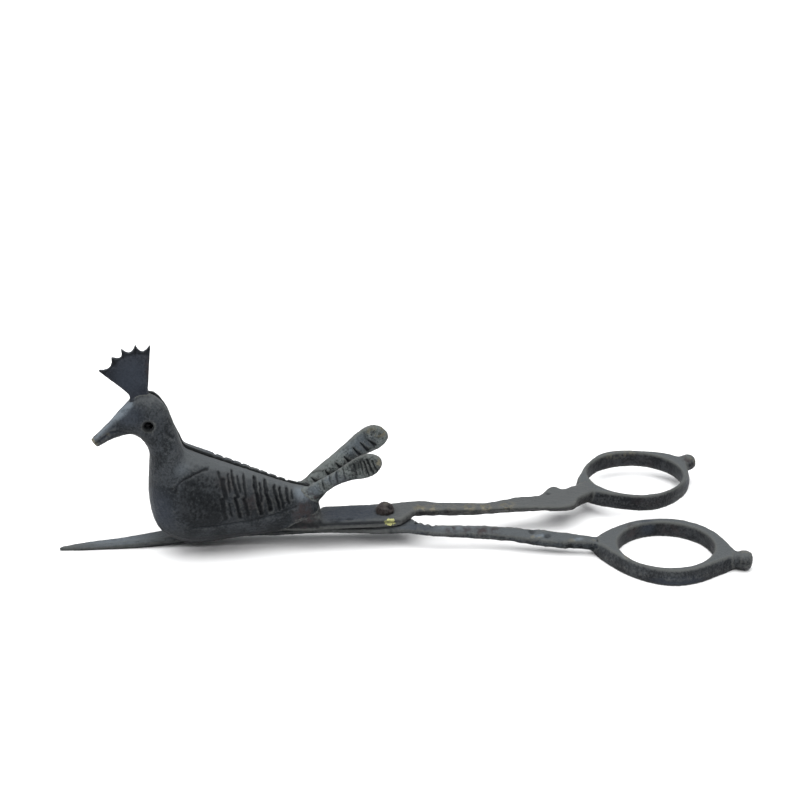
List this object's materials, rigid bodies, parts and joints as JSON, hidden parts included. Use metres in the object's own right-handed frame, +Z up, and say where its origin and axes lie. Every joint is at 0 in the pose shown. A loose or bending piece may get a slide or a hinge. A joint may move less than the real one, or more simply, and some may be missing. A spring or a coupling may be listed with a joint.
{
  "type": "wick trimmer",
  "caption": "Scissor wick trimmer: two riveted levers with finger rings close the halves of a hollow crested bird that catches the trimmed wick; a pointed blade runs on below.",
  "frame": {"origin": "on the surface it stands on, under the middle of the object's length and width", "axes": "+X from the pointed blade towards the finger rings, +Y from the near half of the bird to the far half, +Z up along the rivet"},
  "size_m": [0.1804, 0.0676, 0.0595],
  "materials": {
    "blue_patina": "cast brass under a dark blue-grey patina, satin",
    "dark_patina": "cast brass under a dark grey-brown patina, satin",
    "bird_patina": "cast and chased brass under a near-black green-grey patina, satin",
    "tail_patina": "chased brass, dark patina worn brown at the tips, satin",
    "rivet_brown": "hammered brass rivet, brown patina, satin",
    "brown_patina": "cast brass, dark patina worn brown along its ridge, satin",
    "crest_blue": "sheet brass under a smooth blue-black patina, satin"
  },
  "bodies": {
    "lower_body": {"lower_lever": "blue_patina", "lower_finger_ring": "dark_patina", "lower_ring_knob": "dark_patina", "far_bird_half": "bird_patina", "far_tail": "tail_patina", "pivot_rivet": "rivet_brown"},
    "upper_body": {"upper_lever": "brown_patina", "upper_finger_ring": "dark_patina", "upper_ring_knob": "dark_patina", "near_bird_half": "bird_patina", "near_tail": "tail_patina", "crest_fan": "crest_blue"}
  },
  "joints": [
    {"name": "pivot", "type": "hinge", "parent": "lower_body", "child": "upper_body", "pos_m": [-0.00396, -0.00102, 0.0071], "axis": [0, 0, 1], "range_deg": [-1.5, 45]}
  ]
}
